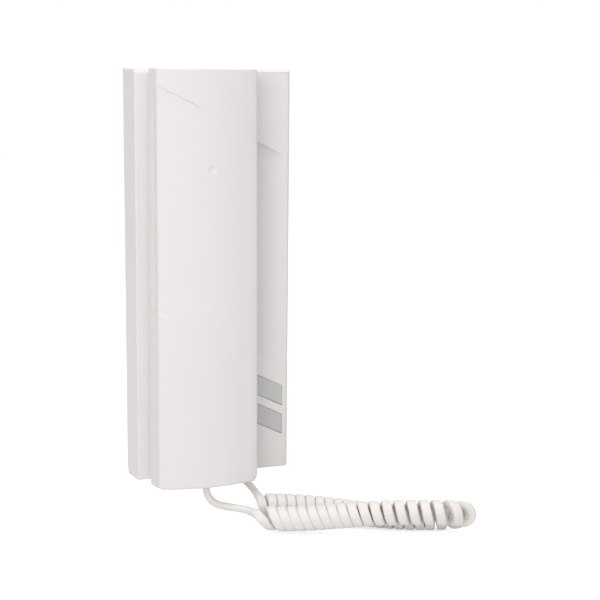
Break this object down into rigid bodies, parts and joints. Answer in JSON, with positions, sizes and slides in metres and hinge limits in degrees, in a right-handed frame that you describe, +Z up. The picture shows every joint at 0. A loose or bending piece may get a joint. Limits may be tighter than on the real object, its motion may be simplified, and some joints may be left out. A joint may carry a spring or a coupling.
{
  "type": "wall door phone handset set",
  "caption": "Slim wall door phone with a lift-off handset, a finger scoop, slanted keys and a curly cord",
  "frame": {"origin": "middle of the wall plate's back face, half-way up and across the base", "axes": "+X to the right seen from the front, +Y into the wall, +Z up; the handset faces -Y"},
  "size_m": [0.166, 0.1027, 0.2426],
  "materials": {
    "shell": "satin",
    "key_green": "satin",
    "key_rose": "satin",
    "board": "satin",
    "steel": "satin",
    "terminal": "satin",
    "black": "satin",
    "lever": "satin",
    "foam": "matte",
    "capsule": "satin",
    "cord": "satin"
  },
  "bodies": {
    "base": {"wall_plate": "shell", "base_cover": "shell", "circuit_board": "board", "board_screws": "steel", "door_switch": "black", "light_switch": "black", "hook_switch": "black", "hook_lever_pin": "steel", "terminal_block": "terminal", "terminal_screws": "steel", "ringer": "black", "cover_screw": "steel", "base_cord_grommet": "cord", "cord_base_tail": "cord", "cord_coil": "cord", "cord_handset_tail": "cord"},
    "handset": {"handset_back": "shell", "handset_front": "shell", "earpiece_gasket": "foam", "earpiece_capsule": "black", "microphone_boot": "foam", "microphone_capsule": "capsule", "handset_screws": "steel", "handset_cord_grommet": "cord"},
    "hook_lever": {"hook_lever": "lever"},
    "door_key": {"door_button": "key_green", "door_switch_plunger": "lever"},
    "light_key": {"light_button": "key_rose", "light_switch_plunger": "lever"}
  },
  "joints": [
    {"name": "handset_lift", "type": "slide", "parent": "base", "child": "handset", "axis": [0, -0.7885, 0.615], "range_m": [0, 0.06]},
    {"name": "hook_lever_turn", "type": "hinge", "parent": "base", "child": "hook_lever", "pos_m": [-0.00915, -0.0127, -0.07], "axis": [-1, 0, 0], "range_deg": [0, 8]},
    {"name": "door_key_press", "type": "slide", "parent": "base", "child": "door_key", "axis": [0, 1, 0], "range_m": [0, 0.001], "stiffness_N_per_m": 60},
    {"name": "light_key_press", "type": "slide", "parent": "base", "child": "light_key", "axis": [0, 1, 0], "range_m": [0, 0.001], "stiffness_N_per_m": 60}
  ],
  "couplings": [
    {"joint": "hook_lever_turn", "follows": "handset_lift", "rad_per_m": 2.3}
  ]
}
